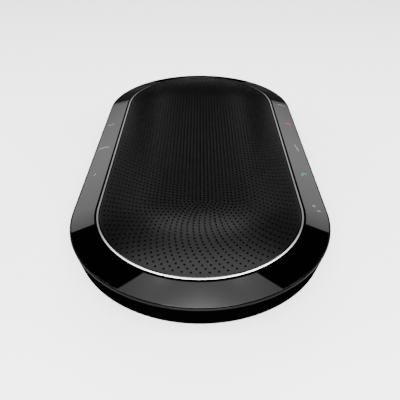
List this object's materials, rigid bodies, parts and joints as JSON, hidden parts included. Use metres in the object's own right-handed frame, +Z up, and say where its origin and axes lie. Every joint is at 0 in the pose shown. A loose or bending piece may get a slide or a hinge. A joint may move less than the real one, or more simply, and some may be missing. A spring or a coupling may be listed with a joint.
{
  "type": "conference speakerphone",
  "caption": "Long round-ended table speakerphone: perforated grille inside a silver ring and a sloping gloss touch panel, on a narrow base with sockets at one end.",
  "frame": {"origin": "middle of the footprint, on the surface it stands on", "axes": "+Y along the long axis, towards the end with the sockets; +Z up; +X to the right when the sockets face away"},
  "size_m": [0.167, 0.332, 0.065],
  "materials": {
    "grille_paint": "matte charcoal powder coat on perforated sheet",
    "scrim": "fine black acoustic cloth",
    "polished_ring": "polished silver",
    "piano_black": "piano-black gloss",
    "sensor_foil": "amber polyimide foil",
    "bezel_plastic": "fine satin black",
    "base_plastic": "fine-grained matte black",
    "foot_rubber": "matte black",
    "bright_steel": "zinc plated",
    "black_steel": "black oxide",
    "inner_plastic": "plain moulded",
    "foam": "closed-cell foam",
    "basket_paint": "black paint",
    "surround_rubber": "soft matte",
    "cone_plastic": "fine texture",
    "former_film": "kraft film",
    "copper": "enamelled copper wire",
    "spider_cloth": "resin-stiffened cloth",
    "ferrite": "ground ferrite",
    "board_laminate": "green solder mask",
    "wire_jacket": "smooth jacket",
    "chip_epoxy": "moulded epoxy",
    "tinned_steel": "bright tin plate",
    "can_aluminium": "sleeved can",
    "led_lens": "clear lens",
    "clear_plastic": "clear acrylic",
    "socket_plastic": "smooth moulded"
  },
  "bodies": {
    "casing": {"speaker_grille": "grille_paint", "grille_cloth": "scrim", "trim_ring": "polished_ring", "touch_panel": "piano_black", "touch_sensor_film": "sensor_foil", "top_housing": "bezel_plastic", "lower_cover": "base_plastic", "base_housing": "base_plastic", "foot_pad": "foot_rubber", "port_panel": "base_plastic", "lock_slot_plate": "bright_steel", "cover_screws": "black_steel", "foot_screws": "bright_steel", "inner_frame": "inner_plastic", "frame_screws": "bright_steel", "speaker_chamber": "inner_plastic", "speaker_gasket": "foam", "speaker_basket": "basket_paint", "speaker_surround": "surround_rubber", "speaker_spider": "spider_cloth", "top_plate": "bright_steel", "speaker_magnet": "ferrite", "magnet_yoke": "bright_steel", "speaker_terminals": "board_laminate", "speaker_leads": "wire_jacket", "speaker_screws": "bright_steel", "main_board": "board_laminate", "processor_chip": "chip_epoxy", "radio_shield": "tinned_steel", "filter_capacitors": "can_aluminium", "board_screws": "bright_steel", "antenna_board": "board_laminate", "left_key_board": "board_laminate", "right_key_board": "board_laminate", "icon_leds": "led_lens", "icon_light_guides": "clear_plastic", "left_flex_cable": "sensor_foil", "right_flex_cable": "sensor_foil", "microphones": "tinned_steel", "microphone_boots": "surround_rubber", "power_inlet": "socket_plastic", "usb_data_socket": "tinned_steel", "usb_charge_socket": "tinned_steel", "audio_jack": "socket_plastic"},
    "diaphragm": {"speaker_cone": "cone_plastic", "dust_cap": "cone_plastic", "coil_former": "former_film", "voice_coil": "copper"}
  },
  "joints": [
    {"name": "diaphragm_travel", "type": "slide", "parent": "casing", "child": "diaphragm", "axis": [0, 0, 1], "range_m": [-0.0025, 0.0025], "stiffness_N_per_m": 1000, "deforming": ["speaker_surround", "speaker_spider"]}
  ]
}
